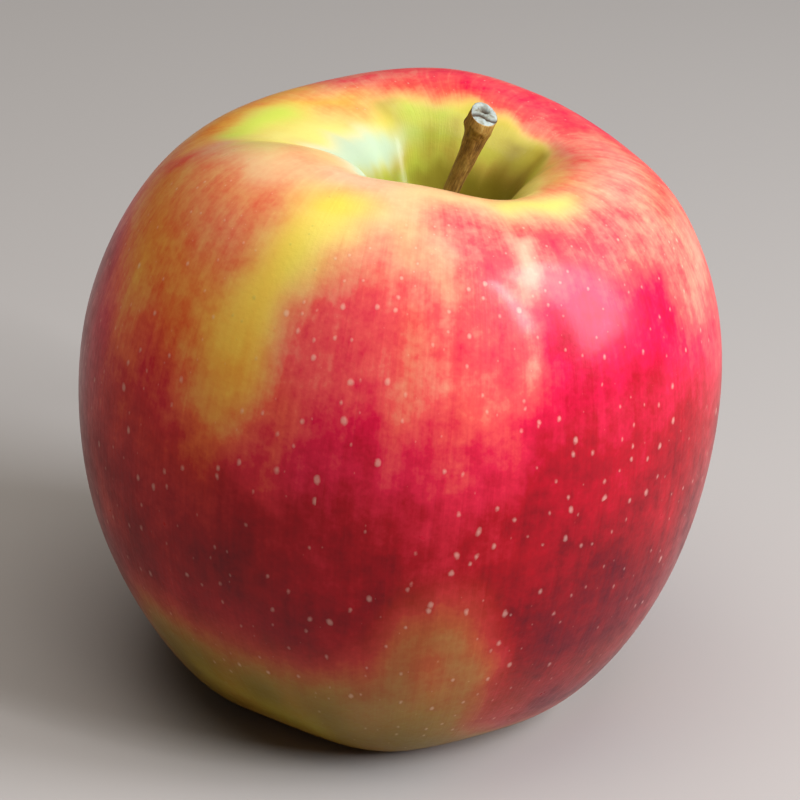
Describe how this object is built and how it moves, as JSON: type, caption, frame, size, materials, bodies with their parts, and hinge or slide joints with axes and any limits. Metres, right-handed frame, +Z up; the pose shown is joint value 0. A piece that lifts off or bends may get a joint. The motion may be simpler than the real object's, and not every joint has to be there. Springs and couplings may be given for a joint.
{
  "type": "apple",
  "caption": "Whole red and yellow dessert apple as picked, lobed, with a woody stem in its top cavity and a dried calyx in the basin underneath. Stands on its base.",
  "frame": {"origin": "middle of the underside of the object's box, on the surface that the apple stands on", "axes": "+Z up along the fruit's own axis, -Y towards the front that the picture shows, +X to its right"},
  "size_m": [0.0794, 0.0798, 0.0775],
  "materials": {
    "skin": "waxy satin skin, red blush streaked over a yellow ground",
    "bark": "dull brown bark with a pale grey cut end",
    "dried_sepal": "dry, matt and downy"
  },
  "bodies": {
    "root": {"fruit": "skin", "stem": "bark", "calyx": "dried_sepal"}
  },
  "joints": []
}
